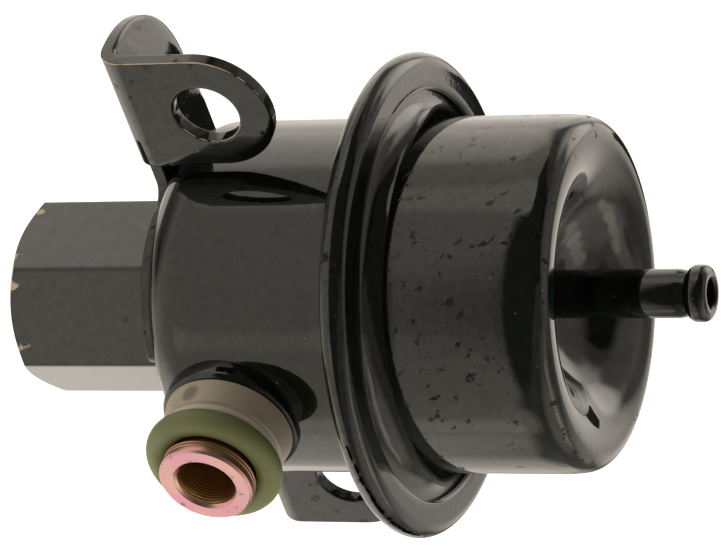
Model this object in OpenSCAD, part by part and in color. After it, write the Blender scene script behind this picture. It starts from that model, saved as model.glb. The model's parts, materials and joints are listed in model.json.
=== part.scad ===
// Fuel pressure regulator: a drawn fuel housing rolled over the flange of a dished spring cover,
// with a folded bracket, a hexagon outlet, a side inlet and the diaphragm valve inside.
// The main axis is X and points to the vacuum nipple, the inlet points along -Y, and the holes of
// the bracket's ears lie along Z. The origin is where the main axis crosses the inlet's axis,
// midway between the two ear holes.

/* [Rolled rim] */
// Outer diameter of the rolled rim
rim_d = 50; // [48:0.5:54]
// Distance from the inlet axis to the middle of the rolled rim
rim_x = 15.7; // [14:0.1:18]
// Inner diameter of the lip that is rolled over the cover's flange
lip_d = 42.2; // [41.6:0.1:44]
// Thickness of the drawn steel sheet
sheet_t = 0.8; // [0.6:0.05:1]
// Outside radius of the bend between each cup and its flange
flange_bend_r = 2.4; // [1.4:0.1:2.6]

/* [Spring cover] */
// Outer diameter of the spring cover
cover_d = 36.6; // [35.6:0.1:37]
// Distance from the middle of the rim to the crest of the cover
cover_reach = 19.7; // [19:0.1:24]
// Radius of the rounded crest
crest_r = 2.1; // [1.4:0.1:3]
// Depth of the dish below the crest
dish_depth = 8; // [6:0.1:8.6]

/* [Fuel housing] */
// Outer diameter of the fuel housing
housing_d = 36.6; // [36:0.1:37]
// Distance from the middle of the rim to the outside of the end wall
housing_reach = 24.4; // [23.5:0.1:26]
// Outside radius of the end wall's corner
housing_corner_r = 5; // [3:0.1:5.4]

/* [Vacuum nipple] */
// Outer diameter of the nipple tube
nipple_d = 5; // [4:0.1:6]
// Bore of the nipple tube
nipple_bore_d = 3.1; // [2:0.1:3.4]
// Distance from the crest of the cover to the tip of the nipple
nipple_reach = 11.5; // [8:0.1:16]
// How far the hose bead stands out of the tube, on the radius
bead_height = 0.4; // [0.2:0.05:0.7]
// Length of the hose bead
bead_len = 2.3; // [2:0.1:3]
// Diameter of the nipple's flange inside the cover
nipple_flange_d = 8; // [7.4:0.1:10]
// Thickness of the nipple's flange
nipple_flange_t = 1; // [0.6:0.1:1.4]

/* [Inlet stub] */
// Length of the stub from the collar to its tip
stub_len = 8.4; // [8:0.1:12]
// Diameter of the collar that is brazed to the housing
collar_d = 14.4; // [13.6:0.1:14.4]
// How far the collar stands out of the housing, on the inlet's axis
collar_height = 0.7; // [0.6:0.05:1.6]
// Radius of the collar's outer edge
collar_edge_r = 0.6; // [0.2:0.1:0.8]
// Bore of the inlet stub
inlet_bore_d = 6.1; // [4:0.1:6.6]
// Diameter of the seal groove between collar and tip
groove_d = 8.8; // [8.2:0.1:9]
// Length of the tip that keeps the seals on
tip_len = 1.7; // [1.2:0.1:2]
// How far the tip stands out of the seal groove, on the radius
tip_height = 0.5; // [0.2:0.05:0.8]
// Chamfer at the tip and at the mouth of the bore
tip_chamfer = 0.35; // [0.1:0.05:0.5]
// Diameter of the stub where it passes through the housing wall
inlet_neck_d = 9.2; // [8.4:0.1:10]
// Length of the stub inside the housing wall
inlet_inside = 1.2; // [1.1:0.1:2]

/* [Inlet seals] */
// Thickness of the O-ring
o_ring_t = 2.75; // [2.5:0.05:2.9]
// Largest diameter of the backing ring
backing_d = 13.4; // [12.6:0.1:14]
// How much the backing ring tapers towards the O-ring, on the diameter
backing_taper = 0.7; // [0:0.1:1]
// Length of the lip at the front of the backing ring
backing_lip_len = 0.8; // [0.4:0.1:1.2]

/* [Outlet hexagon] */
// Width across the flats of the hexagon
hex_af = 18; // [16.5:0.5:19]
// Length of the hexagon
hex_len = 17.1; // [16.5:0.1:22]
// Drop of the chamfer at the free end, on the radius
hex_chamfer = 1.5; // [1:0.1:2.4]
// Length of the chamfer along the axis
hex_chamfer_len = 0.95; // [0.5:0.05:2]
// Bore of the return thread
thread_bore_d = 12.5; // [11:0.1:13]
// Chamfer at the mouth of the return thread
thread_chamfer = 0.8; // [0.3:0.1:1]
// Depth of the return thread
thread_depth = 13; // [10:0.1:13.6]
// Diameter of the neck that passes through the bracket and the end wall
neck_d = 10; // [9:0.1:11]
// How far the riveted head stands out of the neck, on the radius
rivet_height = 1.1; // [0.6:0.1:1.6]
// Thickness of the riveted head
rivet_t = 1; // [0.6:0.1:1.4]

/* [Mounting bracket] */
// Thickness of the bracket's sheet
bracket_t = 1.5; // [1.2:0.1:2]
// Inside radius of the bend at each ear
bend_r = 1.2; // [0.8:0.1:1.6]
// Distance between the two ear holes
ear_spacing = 52.5; // [52:0.1:58]
// Diameter of each ear hole
ear_hole_d = 7; // [5:0.1:8]
// Width of each ear
ear_w = 14; // [11:0.1:15]
// Distance from the main axis to the front face of the ears
ear_front = 1.2; // [0.7:0.1:2]
// Diameter of the round plate behind the housing
plate_d = 26.5; // [24:0.1:28]
// Distance from the main axis to the back edge of the arms
arm_back = 14.3; // [13.8:0.1:16]
// Radius of the arms' outer corner
arm_corner_r = 12.2; // [6:0.1:12.6]
// Radius of the fillet between each arm and the round plate
arm_root_r = 1.8; // [0.5:0.1:2.6]
// Radius of the relief in the plate under the inlet
relief_r = 2.6; // [1.5:0.1:4]
// Radius of the relief's corners
relief_corner_r = 1.2; // [0.5:0.1:1.6]

/* [Diaphragm] */
// Thickness of the diaphragm
diaphragm_t = 0.6; // [0.4:0.05:0.9]
// Mean radius of the diaphragm's convolution, seen in section
convolution_r = 1.4; // [1:0.1:1.6]
// Diameter of the middle of the convolution
convolution_d = 31.8; // [31:0.1:32.6]
// Radial clearance between the diaphragm's hole and the carrier's stem
diaphragm_clearance = 0.3; // [0.2:0.05:0.5]

/* [Valve] */
// Diameter of the plate on the fuel side of the diaphragm
wet_plate_d = 25.6; // [20:0.1:27]
// Thickness of the plate on the fuel side
wet_plate_t = 0.6; // [0.4:0.05:0.9]
// Radial clearance between the spring plate and the diaphragm's convolution
plate_clearance = 0.5; // [0.3:0.05:1]
// Thickness of the spring plate
spring_plate_t = 0.8; // [0.6:0.05:1]
// Height of the spring plate's rim
spring_plate_rim = 2.4; // [1.6:0.1:4]
// Diameter of the valve carrier
carrier_d = 10.8; // [10.2:0.1:13]
// Length of the valve carrier on the fuel side
carrier_len = 6; // [5.8:0.1:7]
// Diameter of the carrier's stem through the diaphragm
stem_d = 6; // [5.4:0.1:7]
// Diameter of the carrier's riveted head
head_d = 9.2; // [8:0.1:11]
// Thickness of the carrier's riveted head
head_t = 1; // [0.8:0.1:1.6]
// Diameter of the valve ball
ball_d = 6.4; // [6:0.1:6.6]
// Distance from the middle of the ball to its ground flat
ball_flat = 2; // [1.8:0.05:2.2]
// How far the ball stands out of the carrier
ball_stand = 0.5; // [0.4:0.05:0.8]
// Outer diameter of the ring that keeps the ball in
retainer_d = 8.8; // [8:0.1:9.2]
// Thickness of that ring
retainer_t = 0.6; // [0.4:0.05:0.7]
// Radial clearance between the ball and its pocket
ball_clearance = 0.05; // [0.02:0.01:0.1]
// Gap between the ball's flat and the seat when the valve is shut
seat_gap = 0.02; // [0.01:0.01:0.05]

/* [Return tube] */
// Outer diameter of the return tube
tube_d = 6.4; // [5.6:0.1:7]
// Bore of the return tube
tube_bore_d = 4.8; // [4:0.1:5]
// Length of the tube inside the outlet neck
tube_socket = 4.2; // [3:0.1:4.6]
// Bore of the valve seat
seat_bore_d = 3.4; // [2.4:0.1:3.6]
// Outer diameter of the sealing lip
lip_face_d = 4.6; // [4.2:0.1:4.8]
// Length of the seat's conical nose
seat_nose_len = 1.5; // [1:0.1:2]
// Length of the seat's shank inside the tube
seat_shank_len = 3; // [1.5:0.1:5]

/* [Springs] */
// Wire diameter of the main spring
main_wire_d = 2.2; // [1.6:0.1:2.3]
// Turns of the main spring
main_turns = 4.25; // [3.5:0.25:4.25]
// Wire diameter of the ball spring
ball_wire_d = 0.4; // [0.3:0.05:0.5]
// Outer diameter of the ball spring
ball_spring_d = 3.2; // [2.6:0.1:3.4]
// Turns of the ball spring
ball_turns = 4; // [3:0.5:5]
// Thickness of the ring between the main spring and the dish
spring_seat_t = 0.8; // [0.6:0.1:1.2]
// Width of that ring
spring_seat_w = 3; // [2.6:0.1:3.2]
// Radial clearance between a spring and what guides it
spring_clearance = 0.3; // [0.2:0.05:0.4]
// Gap between a spring and its seats
spring_gap = 0.05; // [0.02:0.01:0.1]

/* [Hidden] */

round_fn = 96;
past = 1; // how far a cutter runs past the face that it opens

black = [0.06, 0.06, 0.06];
steel = [0.62, 0.63, 0.65];
gold_zinc = [0.82, 0.6, 0.5];
tan_plastic = [0.6, 0.55, 0.47];
olive_rubber = [0.41, 0.45, 0.29];
dark_rubber = [0.16, 0.12, 0.1];

// The rolled rim holds, from left to right, the housing's flange, the diaphragm, the cover's
// flange and the housing's lip.
hem_r = (3 * sheet_t + diaphragm_t) / 2;
hem_centre_r = rim_d / 2 - hem_r;
hem_clearance = 0.1;
clamped_r = hem_centre_r - hem_clearance;
housing_flange_x = rim_x - hem_r;
diaphragm_x = housing_flange_x + sheet_t;
cover_flange_x = diaphragm_x + diaphragm_t;
lip_x = cover_flange_x + sheet_t;

// The dish is part of a sphere that meets the round crest without an edge.
cover_r = cover_d / 2;
crest_x = rim_x + cover_reach;
crest_centre = [cover_r - crest_r, crest_x - crest_r];
dish_x = crest_x - dish_depth;
dish_r = (pow(crest_centre[0], 2) + pow(dish_depth - crest_r, 2) - pow(crest_r, 2)) / (2 * dish_depth);
dish_centre_x = dish_x + dish_r;
dish_slope = [-crest_centre[0], dish_centre_x - crest_centre[1]] / (dish_r + crest_r);

housing_r = housing_d / 2;
housing_x = rim_x - housing_reach;
plate_x = housing_x - bracket_t;
hex_x = plate_x - hex_len;
hex_corner_r = hex_af / sqrt(3);
neck_inner_x = housing_x + sheet_t + rivet_t;

nipple_r = nipple_d / 2;
nipple_x = dish_x - sheet_t - nipple_flange_t;
nipple_tip_x = crest_x + nipple_reach;
bead_r = nipple_r + bead_height;
bead_round_r = 0.85;

collar_reach = housing_r + collar_height;
inlet_reach = collar_reach + stub_len;
groove_r = groove_d / 2;
tip_r = groove_r + tip_height;
tip_x = inlet_reach - tip_len;
o_ring_side_gap = 0.1;
o_ring_reach = tip_x - o_ring_side_gap - o_ring_t / 2;
o_ring_mid_r = groove_r + o_ring_t / 2;
backing_front = o_ring_reach - o_ring_t / 2;

ear_z = ear_spacing / 2;
bend_centre = [housing_x + bend_r, bend_r + bracket_t - ear_front];
plate_r = plate_d / 2;

wet_plate_x = diaphragm_x - wet_plate_t;
carrier_x = wet_plate_x - carrier_len;
spring_plate_d = convolution_d - 2 * convolution_r - diaphragm_t - 2 * plate_clearance;
spring_plate_top = cover_flange_x + spring_plate_t;
stem_r = stem_d / 2;
ball_r = ball_d / 2;
ball_x = carrier_x - ball_stand + ball_flat;
pocket_r = ball_r + ball_clearance;
ball_spring_bore_r = ball_spring_d / 2 + spring_clearance;
ball_spring_end = spring_plate_top - spring_clearance;
ball_spring_mid_r = (ball_spring_d - ball_wire_d) / 2;
ball_spring_start = ball_x + sqrt(pow(ball_r, 2) - pow(ball_spring_mid_r, 2));
seat_x = carrier_x - ball_stand - seat_gap;
tube_end_x = seat_x - seat_nose_len;

main_spring_r = spring_plate_d / 2 - spring_plate_t - spring_clearance - main_wire_d / 2;
spring_seat_in_r = main_spring_r - spring_seat_w / 2;
spring_seat_x = dish_centre_x - sqrt(pow(dish_r + sheet_t, 2) - pow(spring_seat_in_r, 2)) - spring_seat_t;

// A profile of [radius, distance] turned about the main axis
module turned() {
    rotate([0, 90, 0]) rotate_extrude($fn = round_fn) children();
}

// A profile of [radius, distance] turned about the inlet's axis
module turned_inlet() {
    rotate([90, 0, 0]) rotate_extrude($fn = round_fn) children();
}

// A rectangle from one [radius, distance] to another
module band(from, to) {
    translate(from) square(to - from);
}

// The outline of a cup's side where it bends out to its flange, for a side of radius r. The flange
// lies at x and the cup goes the way that side points, 1 or -1. The offset is 0 on the outside and
// the sheet's thickness on the inside.
module flange_bend(r, x, side, offset) {
    bend_x = x + side * flange_bend_r;
    low = min(x - side * offset, bend_x);
    high = max(x - side * offset, bend_x);
    difference() {
        band([0, low], [r + flange_bend_r, high]);
        translate([r + flange_bend_r, bend_x]) circle(flange_bend_r + offset, $fn = round_fn);
    }
}

// The cover's section, filled, with its surface set in by inset
module cover_form(inset) {
    tube_r = crest_r - inset;
    touch = crest_centre + tube_r * dish_slope;
    difference() {
        union() {
            flange_bend(cover_r, lip_x, 1, inset);
            band([0, cover_flange_x], [cover_r - inset, crest_centre[1]]);
            translate(crest_centre) circle(tube_r, $fn = round_fn);
            polygon([[0, crest_centre[1]], crest_centre, touch, [0, touch[1]]]);
        }
        translate([0, dish_centre_x]) circle(dish_r + inset, $fn = 2 * round_fn);
        translate([-2 * cover_r, 0]) square([2 * cover_r, 2 * crest_x]);
    }
}

module spring_cover() {
    color(black) turned() difference() {
        union() {
            band([0, cover_flange_x], [clamped_r, lip_x]);
            cover_form(0);
        }
        cover_form(sheet_t);
        band([0, 0], [nipple_r, crest_x]);
    }
}

module vacuum_nipple() {
    bead_middle_r = bead_r - bead_round_r;
    bead_start = nipple_tip_x - bead_len + bead_round_r;
    bead_end = nipple_tip_x - bead_round_r;
    color(black) turned() difference() {
        union() {
            band([0, nipple_x], [nipple_flange_d / 2, nipple_x + nipple_flange_t]);
            band([0, nipple_x], [nipple_r, bead_start]);
            band([0, bead_start - bead_round_r], [bead_middle_r, nipple_tip_x]);
            band([0, bead_start], [bead_r, bead_end]);
            translate([bead_middle_r, bead_start]) circle(bead_round_r, $fn = round_fn);
            translate([bead_middle_r, bead_end]) circle(bead_round_r, $fn = round_fn);
        }
        band([0, nipple_x - past], [nipple_bore_d / 2, nipple_tip_x + past]);
        translate([-rim_d, 0]) square([rim_d, 2 * nipple_tip_x]);
    }
}

// The housing's section, filled, with its surface set in by inset
module housing_form(inset) {
    corner_r = housing_corner_r - inset;
    corner = [housing_r - housing_corner_r, housing_x + housing_corner_r];
    flange_bend(housing_r, housing_flange_x, -1, inset);
    band([0, corner[1]], [housing_r - inset, diaphragm_x]);
    band([0, housing_x + inset], [corner[0], corner[1]]);
    translate(corner) circle(corner_r, $fn = round_fn);
}

module fuel_housing() {
    lip_round_r = sheet_t / 2;
    color(black) difference() {
        turned() {
            difference() {
                union() {
                    housing_form(0);
                    band([0, housing_flange_x], [hem_centre_r, diaphragm_x]);
                }
                housing_form(sheet_t);
                band([0, housing_x - past], [neck_d / 2, 0]);
            }
            difference() {
                translate([hem_centre_r, rim_x]) circle(hem_r, $fn = round_fn);
                translate([hem_centre_r, rim_x]) circle(hem_r - sheet_t, $fn = round_fn);
                band([0, 0], [hem_centre_r, 2 * rim_x]);
            }
            band([lip_d / 2 + lip_round_r, lip_x], [hem_centre_r, lip_x + sheet_t]);
            translate([lip_d / 2 + lip_round_r, lip_x + lip_round_r]) circle(lip_round_r, $fn = round_fn);
        }
        turned_inlet() square([inlet_neck_d / 2, inlet_reach]);
    }
}

// The corner between the plate's edge and the relief, on the side of +Z, to be cut away
module relief_corner() {
    to_plate = plate_r - relief_corner_r;
    to_relief = relief_r + relief_corner_r;
    y = (pow(to_plate, 2) + pow(plate_r, 2) - pow(to_relief, 2)) / (2 * plate_r);
    centre = [-y, sqrt(pow(to_plate, 2) - pow(y, 2))];
    relief_centre = [-plate_r, 0];
    on_plate = centre * plate_r / to_plate;
    on_relief = relief_centre + (centre - relief_centre) * relief_r / to_relief;
    difference() {
        polygon([centre, on_relief, [-plate_r - past, on_relief[1]], on_plate * (1 + past / plate_r)]);
        translate(centre) circle(relief_corner_r, $fn = round_fn);
    }
}

// One arm of the plate, towards +Z, as far as the bend of its ear, with a fillet where its front
// edge runs into the round plate
module arm_outline() {
    arm_front = bend_centre[1];
    arm_top = ear_z + ear_w / 2;
    corner = [arm_back - arm_corner_r, arm_top - arm_corner_r];
    translate([arm_front, 0]) square([arm_back - arm_front, corner[1]]);
    translate([arm_front, 0]) square([corner[0] - arm_front, arm_top]);
    intersection() {
        translate(corner) circle(arm_corner_r, $fn = round_fn);
        translate(corner) square(arm_corner_r);
    }
    root_y = arm_front - arm_root_r;
    root = [root_y, sqrt(pow(plate_r + arm_root_r, 2) - pow(root_y, 2))];
    difference() {
        polygon([root, root * plate_r / (plate_r + arm_root_r), [arm_front, 0], [arm_front, root[1]]]);
        translate(root) circle(arm_root_r, $fn = round_fn);
    }
}

// One ear, towards +Z, with its bend
module ear() {
    translate([0, bracket_t - ear_front, 0]) rotate([90, 0, 0]) linear_extrude(bracket_t) difference() {
        union() {
            translate([bend_centre[0], ear_z - ear_w / 2]) square([-bend_centre[0], ear_w]);
            translate([0, ear_z]) circle(d = ear_w, $fn = round_fn);
        }
        translate([0, ear_z]) circle(d = ear_hole_d, $fn = round_fn);
    }
    translate([bend_centre[0], bend_centre[1], ear_z - ear_w / 2]) rotate([0, 0, 180])
        rotate_extrude(angle = 90, $fn = round_fn) translate([bend_r, 0]) square([bracket_t, ear_w]);
}

module mounting_bracket() {
    color(black) {
        translate([plate_x, 0, 0]) rotate([90, 0, 90]) linear_extrude(bracket_t) difference() {
            union() {
                circle(plate_r, $fn = round_fn);
                for (side = [0, 1]) mirror([0, side]) arm_outline();
            }
            circle(d = neck_d, $fn = round_fn);
            translate([-plate_r, 0]) circle(relief_r, $fn = round_fn);
            for (side = [0, 1]) mirror([0, side]) relief_corner();
        }
        for (side = [0, 1]) mirror([0, 0, side]) ear();
    }
}

module outlet_hex() {
    thread_end = hex_x + thread_depth;
    drill_len = (thread_bore_d - tube_bore_d) / 2 / sqrt(3);
    socket_x = neck_inner_x - tube_socket;
    color(black) difference() {
        union() {
            intersection() {
                translate([hex_x, 0, 0]) rotate([0, 90, 0]) rotate([0, 0, 90])
                    cylinder(r = hex_corner_r, h = hex_len, $fn = 6);
                turned() polygon([
                    [0, hex_x], [hex_corner_r - hex_chamfer, hex_x],
                    [hex_corner_r, hex_x + hex_chamfer_len], [hex_corner_r + past, hex_x + hex_chamfer_len],
                    [hex_corner_r + past, plate_x], [0, plate_x]
                ]);
            }
            turned() {
                band([0, plate_x - past], [neck_d / 2, neck_inner_x]);
                band([0, neck_inner_x - rivet_t], [neck_d / 2 + rivet_height, neck_inner_x]);
            }
        }
        turned() {
            band([0, hex_x - past], [thread_bore_d / 2, thread_end]);
            polygon([
                [0, hex_x], [thread_bore_d / 2 + thread_chamfer, hex_x],
                [thread_bore_d / 2, hex_x + thread_chamfer], [0, hex_x + thread_chamfer]
            ]);
            polygon([
                [0, thread_end], [thread_bore_d / 2, thread_end],
                [tube_bore_d / 2, thread_end + drill_len], [0, thread_end + drill_len]
            ]);
            band([0, thread_end], [tube_bore_d / 2, socket_x + past]);
            band([0, socket_x], [tube_d / 2, neck_inner_x + past]);
        }
    }
}

module inlet_stub() {
    inner = housing_r - sheet_t - inlet_inside;
    bore_r = inlet_bore_d / 2;
    color(gold_zinc) {
        difference() {
            turned_inlet() {
                band([inlet_neck_d / 2, housing_r / 2], [collar_d / 2, collar_reach - collar_edge_r]);
                band([inlet_neck_d / 2, housing_r / 2], [collar_d / 2 - collar_edge_r, collar_reach]);
                translate([collar_d / 2 - collar_edge_r, collar_reach - collar_edge_r])
                    circle(collar_edge_r, $fn = round_fn);
            }
            turned() housing_form(0);
        }
        turned_inlet() difference() {
            union() {
                band([bore_r, inner], [inlet_neck_d / 2, collar_reach]);
                band([bore_r, collar_reach], [groove_r, inlet_reach]);
                polygon([
                    [bore_r, tip_x], [tip_r, tip_x], [tip_r, inlet_reach - tip_chamfer],
                    [tip_r - tip_chamfer, inlet_reach], [bore_r, inlet_reach]
                ]);
            }
            polygon([
                [bore_r, inlet_reach - tip_chamfer], [bore_r + tip_chamfer, inlet_reach],
                [bore_r, inlet_reach]
            ]);
        }
    }
}

module inlet_backing_ring() {
    back_r = backing_d / 2;
    front_r = back_r - backing_taper / 2;
    lip_start = backing_front - backing_lip_len;
    color(tan_plastic) turned_inlet() polygon([
        [groove_r, collar_reach], [back_r, collar_reach], [front_r, lip_start],
        [front_r - backing_lip_len / 2, backing_front], [groove_r, backing_front]
    ]);
}

module inlet_o_ring() {
    color(olive_rubber) turned_inlet() translate([o_ring_mid_r, o_ring_reach])
        circle(d = o_ring_t, $fn = round_fn);
}

module return_tube() {
    color(steel) turned()
        band([tube_bore_d / 2, neck_inner_x - tube_socket], [tube_d / 2, tube_end_x]);
}

module valve_seat() {
    bore_r = seat_bore_d / 2;
    shank_r = tube_bore_d / 2;
    nose_x = tube_end_x + seat_nose_len / 2;
    color(steel) turned() polygon([
        [bore_r, tube_end_x - seat_shank_len], [shank_r, tube_end_x - seat_shank_len],
        [shank_r, tube_end_x], [tube_d / 2, tube_end_x], [tube_d / 2, nose_x],
        [lip_face_d / 2, seat_x], [bore_r, seat_x]
    ]);
}

module diaphragm() {
    mid_r = convolution_d / 2;
    outer_r = convolution_r + diaphragm_t / 2;
    inner_r = convolution_r - diaphragm_t / 2;
    color(dark_rubber) turned() {
        band([stem_r + diaphragm_clearance, diaphragm_x], [mid_r - inner_r, cover_flange_x]);
        band([mid_r + inner_r, diaphragm_x], [clamped_r, cover_flange_x]);
        difference() {
            translate([mid_r, diaphragm_x]) circle(outer_r, $fn = round_fn);
            translate([mid_r, diaphragm_x]) circle(inner_r, $fn = round_fn);
            band([0, diaphragm_x - 2 * outer_r], [2 * mid_r, diaphragm_x]);
        }
    }
}

module wet_side_plate() {
    edge_r = wet_plate_t / 2;
    color(steel) turned() {
        band([stem_r, wet_plate_x], [wet_plate_d / 2 - edge_r, diaphragm_x]);
        translate([wet_plate_d / 2 - edge_r, wet_plate_x + edge_r]) circle(edge_r, $fn = round_fn);
    }
}

module spring_plate() {
    outer_r = spring_plate_d / 2;
    color(steel) turned() {
        band([stem_r, cover_flange_x], [outer_r, spring_plate_top]);
        band([outer_r - spring_plate_t, cover_flange_x], [outer_r, cover_flange_x + spring_plate_rim]);
    }
}

module valve_carrier() {
    color(steel) turned() difference() {
        union() {
            band([0, carrier_x], [carrier_d / 2, wet_plate_x]);
            band([0, wet_plate_x], [stem_r, spring_plate_top]);
            band([0, spring_plate_top], [head_d / 2, spring_plate_top + head_t]);
        }
        band([0, carrier_x - past], [retainer_d / 2, carrier_x + retainer_t]);
        band([0, carrier_x], [pocket_r, ball_x + pocket_r]);
        band([0, ball_x], [ball_spring_bore_r, ball_spring_end]);
    }
}

module valve_ball() {
    color(steel) translate([ball_x, 0, 0]) rotate([0, 90, 0]) rotate_extrude($fn = round_fn) intersection() {
        circle(ball_r, $fn = round_fn);
        translate([0, -ball_flat]) square([ball_r, ball_flat + ball_r]);
    }
}

module ball_retainer() {
    color(steel) turned() difference() {
        band([0, carrier_x], [retainer_d / 2, carrier_x + retainer_t]);
        translate([0, ball_x]) circle(pocket_r, $fn = round_fn);
    }
}

// A round wire wound about the main axis between two seats, with its end turns closed
module coil(mid_r, wire_d, from, to, turns, sides, steps) {
    closed_turns = 0.75;
    closed_pitch = wire_d * 1.05;
    open_pitch = (to - from - wire_d - 2 * closed_turns * closed_pitch) / (turns - 2 * closed_turns);
    function rise(t) = t < closed_turns ? t * closed_pitch
        : t < turns - closed_turns ? closed_turns * closed_pitch + (t - closed_turns) * open_pitch
        : to - from - wire_d - (turns - t) * closed_pitch;
    rings = round(turns * steps);
    points = [
        for (i = [0:rings], k = [0:sides - 1])
            let (
                t = turns * i / rings,
                across = mid_r + wire_d / 2 * cos(360 * k / sides),
                along = from + wire_d / 2 + rise(t) + wire_d / 2 * sin(360 * k / sides)
            )
            [along, across * cos(360 * t), across * sin(360 * t)]
    ];
    walls = [
        for (i = [0:rings - 1], k = [0:sides - 1])
            let (a = i * sides + k, b = i * sides + (k + 1) % sides)
            [a, a + sides, b + sides, b]
    ];
    first_end = [for (k = [0:sides - 1]) k];
    last_end = [for (k = [sides - 1:-1:0]) rings * sides + k];
    polyhedron(points, concat(walls, [first_end, last_end]));
}

module ball_spring() {
    color(steel) coil(
        ball_spring_mid_r, ball_wire_d, ball_spring_start + ball_wire_d / 2,
        ball_spring_end - spring_gap, ball_turns, 8, 16
    );
}

module main_spring() {
    color(steel) coil(
        main_spring_r, main_wire_d, spring_plate_top + spring_gap,
        spring_seat_x - spring_gap, main_turns, 10, 24
    );
}

module spring_seat() {
    color(steel) turned()
        band([spring_seat_in_r, spring_seat_x], [spring_seat_in_r + spring_seat_w, spring_seat_x + spring_seat_t]);
}

spring_cover();
vacuum_nipple();
fuel_housing();
mounting_bracket();
outlet_hex();
inlet_stub();
inlet_backing_ring();
inlet_o_ring();
return_tube();
valve_seat();
diaphragm();
wet_side_plate();
spring_plate();
valve_carrier();
valve_ball();
ball_retainer();
ball_spring();
main_spring();
spring_seat();
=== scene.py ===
# %% [markdown]
# A fuel pressure regulator in glossy black enamel, with a plated inlet and two rubber and plastic
# seals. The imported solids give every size, and this lesson gives them their surfaces. The solids
# stay where they are: a finer mesh may stand in for one of them, but it sits in the same place.

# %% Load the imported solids
import json
import math

import bmesh
import bpy
from mathutils import Matrix, Vector


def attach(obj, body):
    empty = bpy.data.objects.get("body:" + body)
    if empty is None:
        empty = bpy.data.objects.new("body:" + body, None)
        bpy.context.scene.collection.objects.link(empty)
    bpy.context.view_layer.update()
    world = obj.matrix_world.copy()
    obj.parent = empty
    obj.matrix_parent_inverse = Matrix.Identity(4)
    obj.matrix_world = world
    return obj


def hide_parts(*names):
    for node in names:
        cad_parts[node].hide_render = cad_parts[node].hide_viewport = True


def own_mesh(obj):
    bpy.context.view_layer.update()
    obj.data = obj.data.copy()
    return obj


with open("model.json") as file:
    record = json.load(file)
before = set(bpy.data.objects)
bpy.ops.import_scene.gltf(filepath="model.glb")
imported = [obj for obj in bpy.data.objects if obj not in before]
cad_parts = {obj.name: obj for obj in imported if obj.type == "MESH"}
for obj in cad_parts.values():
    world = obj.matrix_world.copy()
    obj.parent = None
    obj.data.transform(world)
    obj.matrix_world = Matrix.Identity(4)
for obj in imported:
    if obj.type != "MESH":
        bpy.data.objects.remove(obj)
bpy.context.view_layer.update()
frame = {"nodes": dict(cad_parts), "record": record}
MM = 0.001

# %% [markdown]
# The camera stands where the photographer stood. A long lens from about 45 cm away keeps the round
# rim nearly a true ellipse. Two angles turn it round the regulator and a small roll tips it, which
# is easier to read than a matrix of nine numbers.

# %% Camera
TURN, TILT, ROLL = 0.39224, 0.75871, 0.00768
DISTANCE = 0.450
RIM_CENTRE = Vector((15.4, 0, 0)) * MM
SHIFT_LEFT, SHIFT_UP = 5.867 * MM, 2.048 * MM
SENSOR_MM, FOCAL_PIXELS, PHOTO_PIXELS = 36, 4372.4, 726
level_right = Vector((math.cos(TURN), math.sin(TURN) * math.cos(TILT), -math.sin(TURN) * math.sin(TILT)))
level_up = Vector((0, math.sin(TILT), math.cos(TILT)))
to_camera = level_right.cross(level_up)
right = math.cos(ROLL) * level_right - math.sin(ROLL) * level_up
up = math.sin(ROLL) * level_right + math.cos(ROLL) * level_up
place = Matrix((right, up, to_camera)).transposed().to_4x4()
place.translation = RIM_CENTRE - SHIFT_LEFT * right + SHIFT_UP * up + DISTANCE * to_camera
camera = bpy.data.objects.new("photo_camera", bpy.data.cameras.new("photo_camera"))
camera.data.sensor_width = SENSOR_MM
camera.data.lens = SENSOR_MM * FOCAL_PIXELS / PHOTO_PIXELS
camera.matrix_world = place
bpy.context.scene.collection.objects.link(camera)
bpy.context.scene.camera = camera
print("lens in mm:", round(camera.data.lens, 1))

# %% [markdown]
# Black enamel has hardly any colour of its own, so what we see on it is the studio. The real one
# was lit by a pale room with a dark side behind the camera and soft lamps to the left and right.
# The world's shader paints such a room by direction alone: it starts from an even warm white, and
# each dab pulls one part of it to its own level, with a soft edge. The floor is a sheet of lit
# paper that mirror rays pass through, so that the enamel shows the painted room below it too. A
# black card far behind the bracket is painted shade: it stands for the regulator's shadow on a near
# table, only mirror rays see it, and so it puts a painted dark reflection on the arm that shows
# through the ear's hole. The view transform is Standard, so that the pale ground burns out to white
# as in the photograph.


# %% Studio
def heading(azimuth, elevation):
    """A direction from the object: azimuth 0 is the front, 90 the right."""
    a, e = math.radians(azimuth), math.radians(elevation)
    return Vector((math.sin(a) * math.cos(e), -math.cos(a) * math.cos(e), math.sin(e)))


def add(tree, kind, **settings):
    """A new node with some of its settings, or of its inputs by their names, filled in."""
    made = tree.nodes.new(kind)
    for name, value in settings.items():
        if hasattr(made, name):
            setattr(made, name, value)
        else:
            made.inputs[name.replace("_", " ").title()].default_value = value
    return made


def math_node(tree, operation, a, b=None, c=None):
    """A Math node whose inputs are numbers or sockets; gives its output."""
    made = add(tree, "ShaderNodeMath", operation=operation)
    for socket, value in zip(made.inputs, (a, b, c)):
        if value is None:
            continue
        if isinstance(value, (int, float)):
            socket.default_value = value
        else:
            tree.links.new(value, socket)
    return made.outputs[0]


def remap(tree, value, low, high, to_low=0.0, to_high=1.0):
    """A Map Range node with soft ends from a socket; gives its output."""
    made = add(tree, "ShaderNodeMapRange", interpolation_type="SMOOTHSTEP")
    tree.links.new(value, made.inputs["Value"])
    for name, number in zip(("From Min", "From Max", "To Min", "To Max"), (low, high, to_low, to_high)):
        made.inputs[name].default_value = number
    return made.outputs["Result"]


scene = bpy.context.scene
scene.view_settings.view_transform = "Standard"
scene.world = bpy.data.worlds.new("studio")
scene.world.use_nodes = True
room = scene.world.node_tree
sight = add(room, "ShaderNodeTexCoord").outputs["Generated"]


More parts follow.
